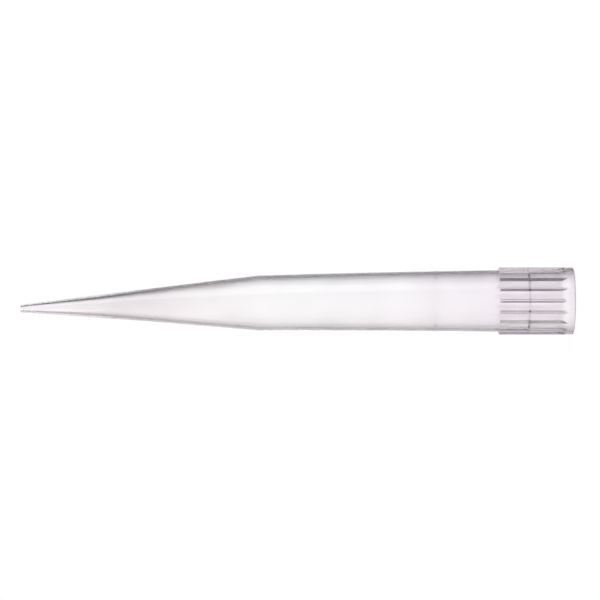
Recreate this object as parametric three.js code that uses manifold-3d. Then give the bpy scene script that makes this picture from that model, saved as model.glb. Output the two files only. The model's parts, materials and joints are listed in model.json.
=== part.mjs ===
// A 5 mL pipette tip: one thin shell of moulded polypropylene, open at both ends.
//
// It stands on its mouth, the wide end that a pipette's nose cone is pushed into, with its
// small orifice at the top. z = 0 is the flat rim of the mouth, the Z axis is the collar's
// axis, and every height is measured up from the rim. All lengths are millimetres.
//
// From the mouth up: a smooth rim, a ribbed collar that a rack's plate carries, a barrel with
// a slight taper and one fine ring at its nominal volume, a shoulder, and a long cone. Inside:
// a tapered seat for the nose cone, a small ledge that stops it, and the bore. The tip has
// bowed a little to one side, as long moulded tips do when they cool.

import * as THREE from "three";
import { mergeVertices } from "three/addons/utils/BufferGeometryUtils.js";
import Module from "manifold-3d";

// Heights
const overallLength = 120;
const coneLength = 51.6; // from the orifice down to the shoulder
const collarHeight = 16.2; // the ribs end here
const rimHeight = 1.5; // the smooth ring round the mouth, up to the flare
const seatDepth = 9.55; // how far a nose cone goes in
const fillRingHeight = 29.9;

// Outer radii
const barrelRadius = 6.77; // between the ribs, and up to the collar's end
const shoulderRadius = 6.03;

// Walls and the orifice
const wall = 0.85;
const neckLength = 17; // the last stretch of the bore, where the wall thins faster
const neckWall = 0.78; // where that stretch starts
const orificeRadius = 0.43;
const orificeWall = 0.32;

// How far the orifice has bowed from the collar's axis, towards -X
const bow = 1.65;

// Collar
const ribCount = 17;
const ribHeight = 0.54; // a rib above the barrel
const ribFoot = 0.88; // across a rib where it leaves the barrel
const ribCrest = 0.14; // across its top, between the slopes
const ribEase = 0.065; // how far each side of the crest's corners the rounding reaches
const rimOverRibs = 0.06; // how far the rim stands proud of the ribs
const flareRun = 1.3; // the slope from the rim up to the floor between the ribs, along the axis
const flareEase = 0.6; // how far each side of its corners the rounding reaches, along the axis

// Mouth
const rimEdgeRadius = 0.3;
const mouthChamfer = 0.25;
const seatDraft = 0.2; // how much wider the seat is at the mouth than at the ledge
const ledgeWidth = 0.28;
const ledgeRun = 0.46; // the ledge's slope, measured along the axis

// Fine ring at the nominal volume
const fillRingWidth = 0.5;
const fillRingProud = 0.06;

// Fineness of the round stretches
const segmentsPerRib = 4;
const arcSegments = 4;
const bowStep = 13; // the longest straight stretch of a bowed wall

// Worked out from the sizes above
const shoulderHeight = overallLength - coneLength;
const rimRadius = barrelRadius + ribHeight + rimOverRibs;
const flareTop = rimHeight + flareRun;
const neckHeight = overallLength - neckLength;
const seatEndRadius = barrelRadius - wall + ledgeWidth;
const seatMouthRadius = seatEndRadius + seatDraft;
const frontAngle = -Math.PI / 2; // one rib faces the front, -Y

// The barrel's outer radius at a height above the collar.
function barrelAt(height) {
  return THREE.MathUtils.mapLinear(height, collarHeight, shoulderHeight, barrelRadius, shoulderRadius);
}

// The cone's outer radius at a height.
function coneAt(height) {
  const tipRadius = orificeRadius + orificeWall;
  return THREE.MathUtils.mapLinear(height, shoulderHeight, overallLength, shoulderRadius, tipRadius);
}

// How far the wall has bowed from the collar's axis at a height.
function bowAt(height) {
  const along = Math.max(0, height - collarHeight) / (overallLength - collarHeight);
  return bow * along ** 2;
}

// Carries the line on along a straight wall, with points close enough to follow the bow.
function runTo(line, radius, height) {
  const start = line.currentPoint.clone();
  const end = new THREE.Vector2(radius, height);
  const steps = Math.ceil(Math.abs(height - start.y) / bowStep);
  for (let i = 1; i <= steps; i++) {
    const point = start.clone().lerp(end, i / steps);
    line.lineTo(point.x, point.y);
  }
}

// The shell's section as one closed line, radius across and height up: up the outside from
// the mouth to the orifice, and back down the inside.
function shellSection() {
  const edgeCentre = rimRadius - rimEdgeRadius;
  const easeRise = ((rimRadius - barrelRadius) * flareEase) / flareRun;
  const ringLow = fillRingHeight - fillRingWidth / 2;
  const ringHigh = fillRingHeight + fillRingWidth / 2;

  const line = new THREE.Path();
  line.moveTo(seatMouthRadius + mouthChamfer, 0);
  line.lineTo(edgeCentre, 0);
  line.absarc(edgeCentre, rimEdgeRadius, rimEdgeRadius, -Math.PI / 2, 0, false);
  line.lineTo(rimRadius, rimHeight - flareEase);
  line.quadraticCurveTo(rimRadius, rimHeight, rimRadius - easeRise, rimHeight + flareEase);
  line.lineTo(barrelRadius + easeRise, flareTop - flareEase);
  line.quadraticCurveTo(barrelRadius, flareTop, barrelRadius, flareTop + flareEase);
  line.lineTo(barrelRadius, collarHeight);
  runTo(line, barrelAt(ringLow), ringLow);
  line.lineTo(barrelAt(ringLow) + fillRingProud, ringLow + fillRingProud);
  line.lineTo(barrelAt(ringHigh) + fillRingProud, ringHigh - fillRingProud);
  line.lineTo(barrelAt(ringHigh), ringHigh);
  runTo(line, shoulderRadius, shoulderHeight);
  runTo(line, coneAt(overallLength), overallLength);
  line.lineTo(orificeRadius, overallLength);
  runTo(line, coneAt(neckHeight) - neckWall, neckHeight);
  runTo(line, shoulderRadius - wall, shoulderHeight);
  runTo(line, barrelRadius - wall, collarHeight);
  line.lineTo(barrelRadius - wall, seatDepth + ledgeRun);
  line.lineTo(seatEndRadius, seatDepth);
  line.lineTo(seatMouthRadius, mouthChamfer);
  line.closePath();
  return line.getPoints(arcSegments);
}

// The section turned round the axis, then shifted sideways ring by ring to follow the bow.
function shellGeometry() {
  const turned = new THREE.LatheGeometry(shellSection(), ribCount * segmentsPerRib);
  turned.rotateX(Math.PI / 2);
  const position = turned.getAttribute("position");
  for (let i = 0; i < position.count; i++) {
    position.setX(i, position.getX(i) - bowAt(position.getZ(i)));
  }
  return turned;
}

// One rib: a narrow ridge with sloping sides and a rounded crest, along the collar from
// inside the rim to the collar's end, and rooted half way into the wall.
function ribGeometry() {
  const root = (seatMouthRadius + barrelRadius) / 2;
  const crest = barrelRadius + ribHeight;
  const footHalf = ribFoot / 2;
  const crestHalf = ribCrest / 2;
  const easeDrop = (ribHeight * ribEase) / (footHalf - crestHalf);

  const outline = new THREE.Shape();
  outline.moveTo(root, -footHalf);
  outline.lineTo(barrelRadius, -footHalf);
  outline.lineTo(crest - easeDrop, -crestHalf - ribEase);
  outline.quadraticCurveTo(crest, -crestHalf, crest, -crestHalf + ribEase);
  outline.lineTo(crest, crestHalf - ribEase);
  outline.quadraticCurveTo(crest, crestHalf, crest - easeDrop, crestHalf + ribEase);
  outline.lineTo(barrelRadius, footHalf);
  outline.lineTo(root, footHalf);

  const start = rimHeight / 2;
  const bar = new THREE.ExtrudeGeometry(outline, {
    depth: collarHeight - start,
    bevelEnabled: false,
    curveSegments: arcSegments,
  });
  return bar.translate(0, 0, start);
}

const wasm = await Module();
wasm.setup();

// A three.js geometry as a manifold-3d solid.
function solidOf(geometry) {
  const bare = geometry.clone();
  bare.deleteAttribute("normal");
  bare.deleteAttribute("uv");
  const merged = mergeVertices(bare);
  return new wasm.Manifold(
    new wasm.Mesh({
      numProp: 3,
      vertProperties: merged.getAttribute("position").array,
      triVerts: new Uint32Array(merged.getIndex().array),
    }),
  );
}

// A manifold-3d solid as a three.js geometry.
function geometryOf(solid) {
  const { vertProperties, triVerts } = solid.getMesh();
  const geometry = new THREE.BufferGeometry();
  geometry.setAttribute("position", new THREE.BufferAttribute(vertProperties, 3));
  geometry.setIndex(new THREE.BufferAttribute(triVerts, 1));
  geometry.computeVertexNormals();
  return geometry;
}

// The shell with the ribs joined on.
function tipSolid() {
  let solid = solidOf(shellGeometry());
  for (let i = 0; i < ribCount; i++) {
    const rib = ribGeometry().rotateZ(frontAngle + (i * 2 * Math.PI) / ribCount);
    solid = solid.add(solidOf(rib));
  }
  return solid;
}

const polypropylene = new THREE.MeshStandardMaterial({
  color: 0xf1ecf2,
  roughness: 0.35,
  metalness: 0,
  transparent: true,
  opacity: 0.5,
});

const tip = new THREE.Mesh(geometryOf(tipSolid()), polypropylene);
tip.name = "pipette_tip";

const part = new THREE.Group();
part.add(tip);

export default part;
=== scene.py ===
# %% [markdown]
# # A pipette tip in milky plastic
#
# This lesson dresses the solid model of a 5 mL pipette tip: one thin shell of polypropylene
# with a ribbed collar, a slim barrel and a long cone. The solid model is loaded first and
# stays where it is. It stands on its mouth, +Z points up to the orifice, and everything is in
# metres.
#
# The solid is plain, and a clear piece shows every facet that it has. So the lesson models
# the tip once more as one fine mesh, in the same place and at the same size, and gives it a
# finish, a studio and a camera.

# %% Load the frame
import json
import math

import bmesh
import bpy
from mathutils import Euler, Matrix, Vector


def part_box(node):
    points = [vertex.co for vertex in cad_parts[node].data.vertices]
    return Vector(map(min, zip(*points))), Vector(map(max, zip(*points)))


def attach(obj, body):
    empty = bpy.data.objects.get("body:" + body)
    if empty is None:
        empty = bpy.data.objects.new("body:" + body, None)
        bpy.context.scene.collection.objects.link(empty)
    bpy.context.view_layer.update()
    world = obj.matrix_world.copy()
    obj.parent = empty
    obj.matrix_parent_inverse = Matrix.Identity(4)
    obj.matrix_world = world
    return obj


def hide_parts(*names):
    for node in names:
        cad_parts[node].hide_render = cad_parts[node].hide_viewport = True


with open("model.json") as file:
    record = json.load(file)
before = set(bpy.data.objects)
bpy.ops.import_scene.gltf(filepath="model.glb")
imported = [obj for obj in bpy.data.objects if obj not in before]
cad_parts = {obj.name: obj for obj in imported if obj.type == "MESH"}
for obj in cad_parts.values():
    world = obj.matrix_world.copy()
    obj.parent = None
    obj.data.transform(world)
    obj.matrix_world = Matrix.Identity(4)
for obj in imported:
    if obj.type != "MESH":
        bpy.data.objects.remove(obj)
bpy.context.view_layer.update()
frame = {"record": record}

low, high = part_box("pipette_tip")
length = high.z - low.z
rim_radius = (high.x - low.x) / 2
mounts = {mount["name"]: mount for mount in frame["record"]["mounts"]}
collar_height = mounts["rack_seat"]["pos_m"][2]
print("tip", round(length * 1000, 2), "mm long,", round(rim_radius * 2000, 2), "mm across the rim")

# %% [markdown]
# ## The sizes of the tip
#
# A moulder's drawing gives a tip by its heights above the mouth, its outer radii and its
# walls. The length, the rim and the collar's height are measured from the frame. The rest are
# the drawing's own sizes, in millimetres, turned into metres once here.
#
# Two of them are too small for the solid model, and only the fine mesh has them: the rounding
# of the ribs' ends, rib_edge, and of the ledge's corners, ledge_ease.

# %% Sizes
MM = 0.001
same_place = 0.001 * MM  # points closer than this count as one

# The shell
barrel_radius = 6.77 * MM
shoulder_radius = 6.03 * MM
shoulder_height = length - 51.6 * MM
orifice_radius = 0.43 * MM
orifice_wall = 0.32 * MM
wall = 0.85 * MM
knee_height = length - 17 * MM
knee_wall = 0.78 * MM
bow = 1.65 * MM

# The rim and the ribs
rim_height = 1.5 * MM
rim_edge = 0.3 * MM
flare_run = 1.3 * MM
flare_ease = 0.6 * MM
rib_count = 17
rib_height = 0.54 * MM
rib_crest = 0.14 * MM
rib_foot = 0.88 * MM
rib_ease = 0.065 * MM
rib_edge = 0.2 * MM
rib_end_step = 0.01 * MM

# The seat inside the mouth
mouth_chamfer = 0.25 * MM
seat_depth = 9.55 * MM
seat_draft = 0.2 * MM
ledge_width = 0.28 * MM
ledge_run = 0.46 * MM
ledge_ease = 0.09 * MM

# The filling line
fill_ring_height = 29.9 * MM
fill_ring_width = 0.5 * MM
fill_ring_proud = 0.06 * MM

print("barrel", round(2 * barrel_radius / MM, 2), "mm across, wall", round(wall / MM, 2), "mm")

# %% [markdown]
# ## Round corners without a bevel
#
# The flare under the rim, the ledge in the seat and the ribs are all straight slopes that
# meet flats. A bevel could round each corner afterwards, but here the wall is raised ring by
# ring, and it is simpler to know the rounded radius at every height. The smaller or larger of
# two lines is a sharp corner, and these two helpers give the same corner with a soft curve in
# it.

# %% Helpers for slopes and corners
def share(height, start, end):
    return (height - start) / (end - start)


def blend(first, last, amount):
    return first + (last - first) * amount


def eased_min(first, second, ease):
    """The smaller of two lengths, with the corner where they cross rounded off."""
    amount = min(1, max(0, 0.5 + 0.5 * (second - first) / ease))
    return blend(second, first, amount) - ease * amount * (1 - amount)


def eased_max(first, second, ease):
    """The larger of two lengths, rounded in the same way."""
    return -eased_min(-first, -second, ease)


print("a corner of 1 mm, eased by 0.2 mm, is cut back to", round(eased_min(1, 1, 0.2), 2), "mm")

# %% [markdown]
# ## How the wall runs
#
# The outside and the bore are each a radius that depends only on the height, so one function
# each describes the whole shell. The outside starts with the rim's round edge, slopes down to
# the floor between the ribs, and then narrows along the barrel and the cone. The bore starts
# with the tapered seat that grips a pipette's nose, closes in at the ledge that stops it, and
# follows the outside from there.
#
# A third function says how far the wall has bowed to one side: a long moulded tip cools
# unevenly and curves a little, more and more towards its end.

# %% The wall as functions of height
bore_radius = barrel_radius - wall
seat_end_radius = bore_radius + ledge_width
seat_mouth_radius = seat_end_radius + seat_draft
flare_top = rim_height + flare_run
ledge_top = seat_depth + ledge_run


def outer_radius(height):
    if height < rim_edge:
        below = rim_edge - max(height, 0)
        return rim_radius - rim_edge + math.sqrt(rim_edge**2 - below**2)
    if height < collar_height:
        slope = blend(rim_radius, barrel_radius, share(height, rim_height, flare_top))
        ease = flare_ease * (rim_radius - barrel_radius) / flare_run
        return eased_max(eased_min(rim_radius, slope, ease), barrel_radius, ease)
    if height < shoulder_height:
        amount = share(height, collar_height, shoulder_height)
        return blend(barrel_radius, shoulder_radius, amount)
    amount = share(height, shoulder_height, length)
    return blend(shoulder_radius, orifice_radius + orifice_wall, amount)


def bore_at(height):
    if height < collar_height:
        seat = blend(seat_mouth_radius, seat_end_radius, share(height, mouth_chamfer, seat_depth))
        ledge = blend(seat_end_radius, bore_radius, share(height, seat_depth, ledge_top))
        return eased_max(eased_min(seat, ledge, ledge_ease), bore_radius, ledge_ease)
    if height < shoulder_height:
        amount = share(height, collar_height, shoulder_height)
        return blend(bore_radius, shoulder_radius - wall, amount)
    knee_radius = outer_radius(knee_height) - knee_wall
    if height < knee_height:
        amount = share(height, shoulder_height, knee_height)
        return blend(shoulder_radius - wall, knee_radius, amount)
    return blend(knee_radius, orifice_radius, share(height, knee_height, length))


def bow_at(height):
    return -bow * max(0, share(height, collar_height, length)) ** 2


for height in (0, seat_depth, collar_height, shoulder_height, length):
    across = 2 * outer_radius(height) / MM
    print(round(height / MM, 1), "mm up: outside", round(across, 2), "mm across")

# %% [markdown]
# ## Raising the wall ring by ring
#
# A turned wall can be spun from its section, but a ring that is extruded up the wall is just
# as quick by hand, and it lets each ring move aside for the bow. It starts as a circle at the
# mouth. Each step extrudes the open edge, moves it to its height and scales it to its radius.
#
# The circle has 36 points for each of the 17 ribs, so that a rib's crest, its sides and the
# groove beside it all fall on points of their own. The two helpers are used for every ring of
# the outside and of the bore.

# %% The first ring
steps_per_rib = 36
first_radius = seat_mouth_radius + mouth_chamfer

bpy.ops.object.select_all(action="DESELECT")
bpy.ops.mesh.primitive_circle_add(
    vertices=rib_count * steps_per_rib, radius=first_radius, location=(0, 0, 0)
)
tip = bpy.context.object
tip.name = "tip"
tip.data.name = "tip"
bpy.ops.object.mode_set(mode="EDIT")
bpy.ops.mesh.select_mode(type="VERT")
bpy.ops.mesh.select_all(action="SELECT")
last = {"radius": first_radius, "height": 0.0}


def raise_ring(radius, height):
    """Extrudes the wall's open edge to a ring of this radius at this height."""
    aside = bow_at(height) - bow_at(last["height"])
    move = (aside, 0, height - last["height"])
    bpy.ops.mesh.extrude_region_move(TRANSFORM_OT_translate={"value": move})
    scale = radius / last["radius"]
    centre = (bow_at(height), 0, height)
    bpy.ops.transform.resize(value=(scale, scale, 1), center_override=centre)
    last.update(radius=radius, height=height)


def raise_wall(start, end, rings, radius_at):
    """Raises the wall from one height to another in even rings."""
    for i in range(1, rings + 1):
        height = blend(start, end, i / rings)
        raise_ring(radius_at(height), height)


print("first ring has", rib_count * steps_per_rib, "points")

# %% [markdown]
# ## Rim, flare and the floor between the ribs
#
# The rim is the smooth ring round the mouth. Its edge is a quarter circle, taken in even
# turns. Behind it the wall slopes down to the floor between the ribs. That slope is drawn in
# many rings, because the ribs will be pulled out of them and end on it in fine points.
#
# The last rings crowd together just under the collar's end, where the ribs' ends will be
# rounded over. One more ring follows close above them, so that a rib ends in a flat face.

# %% Rim, flare and collar
arc_steps = 8
raise_ring(rim_radius - rim_edge, 0)
for i in range(1, arc_steps + 1):
    turn = i / arc_steps * math.pi / 2
    raise_ring(rim_radius - rim_edge * (1 - math.sin(turn)), rim_edge * (1 - math.cos(turn)))

flare_rings = 14
flare_low = rim_height - flare_ease
flare_high = flare_top + flare_ease
flare_heights = [blend(flare_low, flare_high, i / flare_rings) for i in range(flare_rings)]
for height in flare_heights:
    raise_ring(outer_radius(height), height)

floor_rings = 6
end_backs = (1, 0.62, 0.29, 0.08, 0)  # shares of the ribs' end rounding, closing up to the end
end_rings = [collar_height - rib_edge * back for back in end_backs]
floor_heights = [blend(flare_high, end_rings[0], i / floor_rings) for i in range(floor_rings)]
for height in floor_heights + end_rings:
    raise_ring(barrel_radius, height)
raise_ring(barrel_radius, collar_height + rib_end_step)
print("collar", round(collar_height / MM, 1), "mm tall, flare ends", round(flare_top / MM, 1), "mm up")

# %% [markdown]
# ## The barrel and the cone
#
# Above the collar the wall is plain. The barrel narrows by less than a degree, only enough
# to leave the mould, and the cone takes it down to the orifice. The barrel carries one fine
# raised line that marks a filling level. Many low rings keep the bow an even curve.

# %% Barrel, filling line and cone
line_low = fill_ring_height - fill_ring_width / 2
line_high = fill_ring_height + fill_ring_width / 2
raise_wall(collar_height, line_low, rings=4, radius_at=outer_radius)
for height in (line_low + fill_ring_proud, line_high - fill_ring_proud):
    raise_ring(outer_radius(height) + fill_ring_proud, height)
raise_ring(outer_radius(line_high), line_high)
raise_wall(line_high, shoulder_height, rings=10, radius_at=outer_radius)
raise_wall(shoulder_height, length, rings=12, radius_at=outer_radius)
print("outside rises to", round(last["height"] / MM, 1), "mm, bowed", round(-bow_at(length) / MM, 2))

# %% [markdown]
# ## The bore
#
# The same open edge turns in at the orifice and runs down inside, so the tip is one closed
# shell with a true wall. Light bends at both faces of a real wall, and a single skin could
# not show that. Near the mouth the bore opens at the ledge into the seat. The ledge's soft
# corners need close rings, because through the clear wall it shows as a fine dark line.

# %% Orifice, bore, ledge and seat
ledge_reach = ledge_ease * ledge_run / ledge_width
ledge_high = ledge_top + ledge_reach
ledge_low = seat_depth - ledge_reach
raise_ring(orifice_radius, length)
raise_wall(length, knee_height, rings=4, radius_at=bore_at)
raise_wall(knee_height, shoulder_height, rings=8, radius_at=bore_at)
raise_wall(shoulder_height, collar_height, rings=12, radius_at=bore_at)
raise_wall(collar_height, ledge_high, rings=2, radius_at=bore_at)
raise_wall(ledge_high, ledge_low, rings=14, radius_at=bore_at)
raise_wall(ledge_low, mouth_chamfer, rings=5, radius_at=bore_at)
raise_ring(first_radius, 0)
print("bore ends", round(2 * bore_at(mouth_chamfer) / MM, 2), "mm across at the mouth")

# %% [markdown]
# ## The ribs
#
# The ribs stiffen the collar, and a rack's plate carries the tip by their ends. They are part
# of the same wall, so they are pulled out of it: the points on a rib are selected by their
# place and scaled away from the axis. How far depends on their distance from the rib's
# middle, which gives straight sides and a rounded crest.
#
# At the collar's top a rib ends in a flat with a small round edge. At the rim the slope
# climbs to meet the rib, and only points that the rib still tops are pulled, so it sinks into
# the slope in a long point.

# %% The rib's section
pitch = 2 * math.pi / rib_count
front = -math.pi / 2  # one rib faces the front, -Y


def rib_rise(offset):
    """How far a rib stands out at this distance from its middle, with eased corners."""
    slope = rib_height / (rib_foot / 2 - rib_crest / 2)
    side = slope * (rib_foot / 2 - offset)
    return eased_max(eased_min(rib_height, side, slope * rib_ease), 0, slope * rib_ease / 4)


def steps_from_rib(point):
    """How many points along the ring lie between this one and the nearest rib's middle."""
    angle = (math.atan2(point.y, point.x) - front) % pitch
    return round(min(angle, pitch - angle) / pitch * steps_per_rib)


print("a rib is", round(rib_rise(0) / MM, 2), "mm high and", round(rib_foot / MM, 2), "mm wide")

# %% Pull the ribs out
outside_from = barrel_radius - 0.1 * MM  # the bore's points all lie nearer the axis than this


def pull_ribs(heights, floor, rounding=0):
    """Scales the rib points at these heights out from the floor, less the end's rounding."""
    for step in range(steps_per_rib // 2):
        rise = rib_rise(barrel_radius * step * pitch / steps_per_rib)
        crest = barrel_radius + min(rise, rib_height - rounding)
        if crest <= floor:
            continue
        bpy.ops.mesh.select_all(action="DESELECT")
        mesh = bmesh.from_edit_mesh(tip.data)
        for vertex in mesh.verts:
            point = vertex.co
            on_ring = any(abs(point.z - height) < same_place for height in heights)
            outside = math.hypot(point.x, point.y) > outside_from
            vertex.select = on_ring and outside and steps_from_rib(point) == step
        mesh.select_flush_mode()
        scale = crest / floor
        bpy.ops.transform.resize(value=(scale, scale, 1), center_override=(0, 0, 0))


for height in flare_heights:
    pull_ribs([height], outer_radius(height))
pull_ribs(floor_heights + end_rings[:1], barrel_radius)
for height in end_rings[1:]:
    inset = 1 - (collar_height - height) / rib_edge
    pull_ribs([height], barrel_radius, rib_edge * (1 - math.sqrt(1 - inset**2)))
print(rib_count, "ribs,", round(2 * (barrel_radius + rib_height) / MM, 2), "mm across their crests")

# %% [markdown]
# ## Closing the shell
#
# The last ring came back to the first, so merging what lies in one place closes the shell.
# Smooth shading then hides the steps of the walls. It stops at angles over 30 degrees, so the
# shoulders of the ribs and the mouth's chamfer stay crisp.

# %% Close and smooth
bpy.ops.mesh.select_all(action="SELECT")
bpy.ops.mesh.remove_doubles(threshold=same_place)
bpy.ops.mesh.normals_make_consistent(inside=False)
bpy.ops.object.mode_set(mode="OBJECT")
smooth_below = math.radians(30)
bpy.ops.object.shade_smooth_by_angle(angle=smooth_below)
print("shell", len(tip.data.polygons), "faces")

# %% [markdown]
# ## Milky polypropylene
#
# Polypropylene lets light through and bends it, with a refractive index of 1.49. It is also
# a little milky, because small crystals grow in it as it cools. A clear shader does the
# bending, and a small share of a scattering shader gives the milk.
#
# No moulded piece is quite even, and four things show it:
# The colour changes along the tip: it is faintly mauve all along, and painted shade darkens
# the rim, a little the barrel's foot, and the middle of the cone. No moulded piece is quite
# even either, and three things show it:
# - fine streaks run along the tip, the way the melt ran up the mould,
# - the skin carries the mould's own grain, a few thousandths of a millimetre deep.

# %% Two helpers for nodes
def new_nodes(tree):
    """Empties a node tree and returns a helper that adds one node to it."""
    tree.nodes.clear()

    def add(kind, settings=None, **values):
        made = tree.nodes.new(kind)
        for name, value in (settings or {}).items():
            setattr(made, name, value)
        for name, value in values.items():
            made.inputs[name.replace("_", " ")].default_value = value
        return made

    return add


def set_stops(ramp, stops):
    """Fills a colour ramp with (position, colour) pairs, from left to right."""
    elements = ramp.color_ramp.elements
    for i, (position, colour) in enumerate(stops):
        stop = elements[i] if i < 2 else elements.new(position)
        stop.position = position
        stop.color = (*colour, 1)


print("node helpers ready")

# %% [markdown]
# ### The colour and painted shade along the tip
#
# Each stop is a height above the mouth, in millimetres, and the tint that light picks up
# each time it crosses a face there. A ray through both walls crosses four faces, so these
# small steps count four times. The tints are faintly mauve all along. The darker stops at the
# rim and in the middle of the cone, and a little at the barrel's foot, are painted shade.

# %% Tints and painted shade from the mouth to the orifice
# Painted shade: the darker stops at the rim, the barrel's foot and the middle of the cone.
tint_and_shade_along = [
    (0, (0.84, 0.81, 0.84)),  # the rim's edge
    (1.3, (0.83, 0.8, 0.83)),
    (2.6, (0.89, 0.86, 0.89)),  # the flare
    (3.8, (0.96, 0.93, 0.955)),
    (9, (0.957, 0.922, 0.952)),  # the middle of the collar
    (15.8, (0.94, 0.905, 0.935)),
    (17, (0.93, 0.905, 0.93)),  # the foot of the barrel
    (22, (0.91, 0.89, 0.91)),
    (37, (0.935, 0.925, 0.935)),
    (59, (0.94, 0.94, 0.94)),  # near the shoulder
    (81, (0.925, 0.914, 0.918)),
    (92, (0.874, 0.854, 0.862)),  # the middle of the cone
    (100, (0.87, 0.856, 0.86)),
    (108, (0.895, 0.88, 0.885)),
    (120, (0.935, 0.915, 0.94)),  # the orifice
]
print("tints", len(tint_and_shade_along), "stops over", tint_and_shade_along[-1][0], "mm")

# %% [markdown]
# ### The plastic's nodes
#
# All patterns read Object coordinates, which are metres on the tip itself, so they stay on
# it from every side. The streaks are the same kind of noise as the clouds, only squeezed
# across the tip and drawn out along it by a Mapping node.
#
# A noise rarely leaves the middle three fifths of its range. So that part is spread over the
# whole change that is wanted.

# %% The plastic
clouds_per_metre = 110
streaks_across = 1500
streaks_along = 30
grain_per_metre = 2500
streak_depth = 0.012 * MM
grain_depth = 0.004 * MM
refraction = 1.49
milk_colour = (0.92, 0.9, 0.92, 1)


def make_plastic(name, roughness):
    """Makes the milky plastic with a skin of this roughness."""
    plastic = bpy.data.materials.new(name)
    plastic.use_nodes = True
    add = new_nodes(plastic.node_tree)
    link = plastic.node_tree.links.new
    place = add("ShaderNodeTexCoord").outputs["Object"]

    clouds = add("ShaderNodeTexNoise", Scale=clouds_per_metre, Detail=1, Roughness=0.5)
    link(place, clouds.inputs["Vector"])
    stretch = add("ShaderNodeMapping", Scale=(streaks_across, streaks_across, streaks_along))
    link(place, stretch.inputs["Vector"])
    streaks = add("ShaderNodeTexNoise", Scale=1, Detail=2, Roughness=0.5)
    link(stretch.outputs[0], streaks.inputs["Vector"])
    grain = add("ShaderNodeTexNoise", Scale=grain_per_metre, Detail=2, Roughness=0.5)
    link(place, grain.inputs["Vector"])

    def spread(noise, weakest, strongest):
        """Spreads a noise between two values."""
        made = add("ShaderNodeMapRange", From_Min=0.2, From_Max=0.8)
        made.inputs["To Min"].default_value = weakest
        made.inputs["To Max"].default_value = strongest
        link(noise.outputs["Fac"], made.inputs["Value"])
        return made.outputs[0]

    height = add("ShaderNodeSeparateXYZ")
    link(place, height.inputs[0])
    along = add("ShaderNodeMapRange", From_Min=0, From_Max=length)
    link(height.outputs["Z"], along.inputs["Value"])
    # This ramp carries the faint mauve and the painted shade along the tip.
    tint_and_shade = add("ShaderNodeValToRGB")
    set_stops(tint_and_shade, [(up * MM / length, colour) for up, colour in tint_and_shade_along])
    link(along.outputs[0], tint_and_shade.inputs[0])
    streaked = add("ShaderNodeVectorMath", {"operation": "SCALE"})
    link(tint_and_shade.outputs[0], streaked.inputs[0])
    link(spread(streaks, 0.985, 1.015), streaked.inputs["Scale"])

    ridges = add("ShaderNodeBump", Strength=0.25, Distance=streak_depth)
    link(streaks.outputs["Fac"], ridges.inputs["Height"])
    skin = add("ShaderNodeBump", Strength=0.25, Distance=grain_depth)
    link(grain.outputs["Fac"], skin.inputs["Height"])
    link(ridges.outputs[0], skin.inputs["Normal"])

    clear = add("ShaderNodeBsdfPrincipled", IOR=refraction)
    clear.inputs["Transmission Weight"].default_value = 1
    link(streaked.outputs[0], clear.inputs["Base Color"])
    link(spread(clouds, roughness * 0.8, roughness * 1.2), clear.inputs["Roughness"])
    link(skin.outputs[0], clear.inputs["Normal"])
    milk = add("ShaderNodeBsdfTranslucent", Color=milk_colour)
    milky = add("ShaderNodeMixShader")
    link(spread(clouds, 0.015, 0.055), milky.inputs["Fac"])
    link(clear.outputs[0], milky.inputs[1])
    link(milk.outputs[0], milky.inputs[2])
    output = add("ShaderNodeOutputMaterial")
    link(milky.outputs[0], output.inputs["Surface"])
    print(name, "has", len(plastic.node_tree.nodes), "nodes")
    return plastic


cloud_width = 1 / clouds_per_metre / MM
streak_length = 1 / streaks_along / MM
print("clouds", round(cloud_width), "mm wide, streaks", round(streak_length), "mm long")

# %% [markdown]
# ### Two finishes on one shell
#
# The outside of the mould is polished, so the tip's outside is glossy and the ribs look
# sharp. The core that leaves the bore is ground matt, so that it pulls out easily. The matt
# bore is what blurs everything behind the tip. Each face takes its finish from where it lies:
# inside or outside the middle of the wall.

# %% Give each face its finish
tip.data.materials.append(make_plastic("polished_polypropylene", 0.08))
tip.data.materials.append(make_plastic("matt_bore", 0.32))
for polygon in tip.data.polygons:
    centre = polygon.center
    radius = math.hypot(centre.x - bow_at(centre.z), centre.y)
    middle = (outer_radius(centre.z) + bore_at(centre.z)) / 2
    polygon.material_index = int(radius < middle)
bore_faces = sum(polygon.material_index for polygon in tip.data.polygons)
print("matt bore", bore_faces, "of", len(tip.data.polygons), "faces")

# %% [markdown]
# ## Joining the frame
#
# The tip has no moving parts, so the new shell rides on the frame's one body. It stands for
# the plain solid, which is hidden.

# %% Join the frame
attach(tip, "root")
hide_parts("pipette_tip")
print("tip rides on root")

# %% [markdown]
# ## A ring of pale panels
#
# A clear piece has no look of its own: it shows what stands around it. In a studio, pale and
# dark panels stand round such a piece and give it soft edges. Here the world is such a ring.
# Each stop is a compass direction, in degrees from straight ahead (+Y) towards the
# right (+X), and how bright the panel is there.
#
# The brightest panels are just beside the line of sight, and fill the barrel with light. The
# dark panel to the right draws the tip's dark edge on that side. The panels behind the
# camera are pale and only give soft reflections. Those ahead and to the left are a little
# rosy, and those to the right a little blue.

# %% Panels
panel_levels = [
    (-180, 1.3), (-140, 1.2), (-122, 0.9), (-108, 0.75), (-92, 0.75), (-75, 0.68), (-60, 0.55),
    (-44, 0.58), (-37, 0.56), (-26, 0.66), (-20, 1.3), (-12, 1.74), (0, 1.14), (7, 1.4),
    (13, 1.6), (20, 1.1), (31, 0.26), (48, 0.07), (80, 0.03), (90, 0.3), (115, 0.5),
    (130, 0.9), (180, 1.3),
]
rosy = (1.04, 0.99, 0.99)
plain = (1, 1, 1)
bluish = (1, 0.97, 1.07)


def panel_tone(degrees):
    if -50 <= degrees < -10:
        return rosy
    return plain if degrees < 15 else bluish


def panel_stop(degrees, level):
    return ((degrees + 180) / 360, [level * part for part in panel_tone(degrees)])


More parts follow.
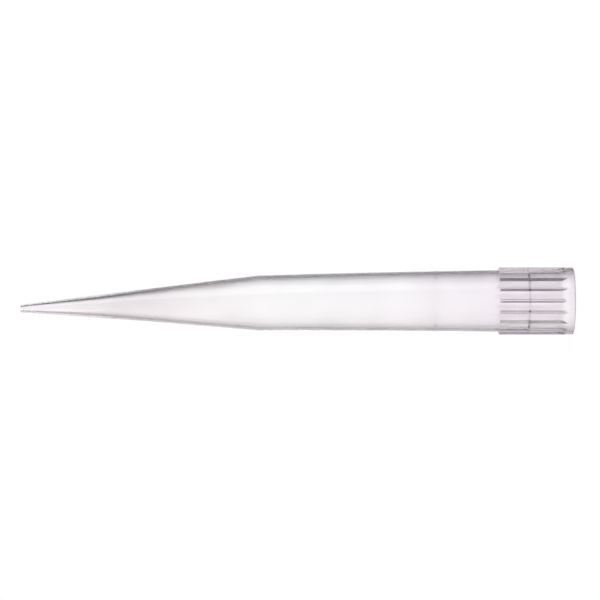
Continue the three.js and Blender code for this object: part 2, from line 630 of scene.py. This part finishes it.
def add_panels(add, link, direction):
    """Adds the ring of panels as a colour that depends on the compass direction."""
    parts = add("ShaderNodeSeparateXYZ")
    link(direction, parts.inputs[0])
    compass = add("ShaderNodeMath", {"operation": "ARCTAN2"})
    link(parts.outputs["X"], compass.inputs[0])
    link(parts.outputs["Y"], compass.inputs[1])
    turn = add("ShaderNodeMapRange", From_Min=-math.pi, From_Max=math.pi)
    link(compass.outputs[0], turn.inputs["Value"])
    panels = add("ShaderNodeValToRGB")
    set_stops(panels, [panel_stop(degrees, level) for degrees, level in panel_levels])
    link(turn.outputs[0], panels.inputs[0])
    return panels.outputs["Color"]


print(len(panel_levels), "panel stops, the brightest", max(level for _, level in panel_levels))

# %% [markdown]
# ## The world
#
# The panels stand on a white table and under a dimmer ceiling. So the ring's colour turns to
# the table's white for directions that point down, and its strength falls for directions that
# point up. The camera itself sees none of this, only plain white.

# %% World
table_white = (1.1, 1.1, 1.1, 1)
backdrop_white = (1, 1, 1, 1)
world = bpy.data.worlds.new("studio")
bpy.context.scene.world = world
world.use_nodes = True
add = new_nodes(world.node_tree)
link = world.node_tree.links.new
direction = add("ShaderNodeTexCoord").outputs["Generated"]
panels = add_panels(add, link, direction)
up = add("ShaderNodeSeparateXYZ")
link(direction, up.inputs[0])
soft_step = {"interpolation_type": "SMOOTHSTEP"}

downward = add("ShaderNodeMapRange", soft_step, From_Min=-0.15, From_Max=-0.4, To_Max=0.75)
link(up.outputs["Z"], downward.inputs["Value"])
lower_half = add("ShaderNodeMix", {"data_type": "RGBA"})
factor = lower_half.inputs[0]
first_colour = lower_half.inputs[6]
second_colour = lower_half.inputs[7]
mixed_colour = lower_half.outputs[2]
link(downward.outputs[0], factor)
link(panels, first_colour)
second_colour.default_value = table_white

upward = add("ShaderNodeMapRange", soft_step, From_Min=0.12, From_Max=0.4, To_Min=1, To_Max=0.5)
link(up.outputs["Z"], upward.inputs["Value"])
ring = add("ShaderNodeBackground")
link(mixed_colour, ring.inputs["Color"])
link(upward.outputs[0], ring.inputs["Strength"])

backdrop = add("ShaderNodeBackground")
backdrop.inputs["Color"].default_value = backdrop_white
path = add("ShaderNodeLightPath")
seen = add("ShaderNodeMixShader")
link(path.outputs["Is Camera Ray"], seen.inputs[0])
link(ring.outputs[0], seen.inputs[1])
link(backdrop.outputs[0], seen.inputs[2])
output = add("ShaderNodeOutputWorld")
link(seen.outputs[0], output.inputs["Surface"])
print("world has", len(world.node_tree.nodes), "nodes")

# %% [markdown]
# ## The white table
#
# The table is a round sheet of white paper. Its own soft light, which only the camera sees,
# lifts it to the backdrop's white, and the tip's shadow stays on it as a pale grey. Seen
# through the plastic the paper would draw a hard line, so there the world's white stands in
# for it.

# %% Table
table_radius = 2.1 * length
paper_colour = (0.8, 0.8, 0.8, 1)
paper_lift = 0.68
bpy.ops.object.select_all(action="DESELECT")
bpy.ops.mesh.primitive_circle_add(
    vertices=96, radius=table_radius, fill_type="NGON", location=(0, 0, 0)
)
floor = bpy.context.object
floor.name = "white_table"
paper = bpy.data.materials.new("white_paper")
paper.use_nodes = True
add = new_nodes(paper.node_tree)
link = paper.node_tree.links.new
matt = add("ShaderNodeBsdfDiffuse", Color=paper_colour)
own_light = add("ShaderNodeEmission", Strength=paper_lift)
lifted = add("ShaderNodeAddShader")
link(matt.outputs[0], lifted.inputs[0])
link(own_light.outputs[0], lifted.inputs[1])
path = add("ShaderNodeLightPath")
seen = add("ShaderNodeMixShader")
link(path.outputs["Is Camera Ray"], seen.inputs[0])
link(matt.outputs[0], seen.inputs[1])
link(lifted.outputs[0], seen.inputs[2])
output = add("ShaderNodeOutputMaterial")
link(seen.outputs[0], output.inputs["Surface"])
floor.data.materials.append(paper)
floor.visible_transmission = False
floor.visible_glossy = False
print("table", round(floor.dimensions.x, 2), "m across")

# %% [markdown]
# ## One softbox
#
# The panels do most of the lighting. One large round softbox on the right, in front of the
# tip and a little above its top, adds the pale band along the barrel's upper side and the
# soft shadow. A real softbox fades towards its rim. Three discs of growing size fade in the
# same way, so the polished outside mirrors no hard line. Each stands a little behind the one
# before, because lamps in exactly one place hide each other.
#
# The discs are hidden from the camera and from rays that pass through the plastic, which
# would show them.

# %% Softbox
softbox_place = Vector((3.5 * length, -2.25 * length, 1.25 * length))
disc_sizes = (2.3, 3, 3.7)  # in lengths of the tip
disc_power = 0.022  # watts for a disc as wide as the tip is long
disc_gap = 0.01  # a share of the way to the tip
aim = Vector((0, 0, length / 2)) - softbox_place
for number, size in enumerate(disc_sizes, start=1):
    bpy.ops.object.light_add(type="AREA", location=softbox_place - aim * disc_gap * number)
    disc = bpy.context.object
    disc.name = f"softbox_disc_{number}"
    disc.data.shape = "DISK"
    disc.data.size = size * length
    disc.data.energy = disc_power * size**2
    disc.rotation_euler = aim.to_track_quat("-Z", "Y").to_euler()
    disc.visible_camera = False
    disc.visible_transmission = False
print("softbox of", len(disc_sizes), "discs,", round(aim.length, 2), "m from the tip")

# %% [markdown]
# ## The camera
#
# The camera is far off with a long lens, so the tip is seen almost straight from the side. It
# lies on its side, a quarter turn, so that the standing tip crosses the picture with its
# orifice to the left. A small turn about the tip puts the ribs where they should be.

# %% Camera
camera_turn = math.radians(-0.7)
camera_distance = 5.455 * length
camera_aside = 0.22 * MM
camera_height = length / 2 - 0.7 * MM
camera_place = Vector((camera_aside, -camera_distance, camera_height))
camera_place.rotate(Euler((0, 0, camera_turn)))
bpy.ops.object.camera_add(location=camera_place)
camera = bpy.context.object
camera.rotation_euler = (math.pi / 2, math.pi / 2, camera_turn)
camera.data.sensor_width = 36
camera.data.lens = 180.8
camera.data.clip_start = 0.01
bpy.context.scene.camera = camera
bpy.context.scene.view_settings.view_transform = "Standard"
print("camera", round(camera_place.length, 3), "m away")
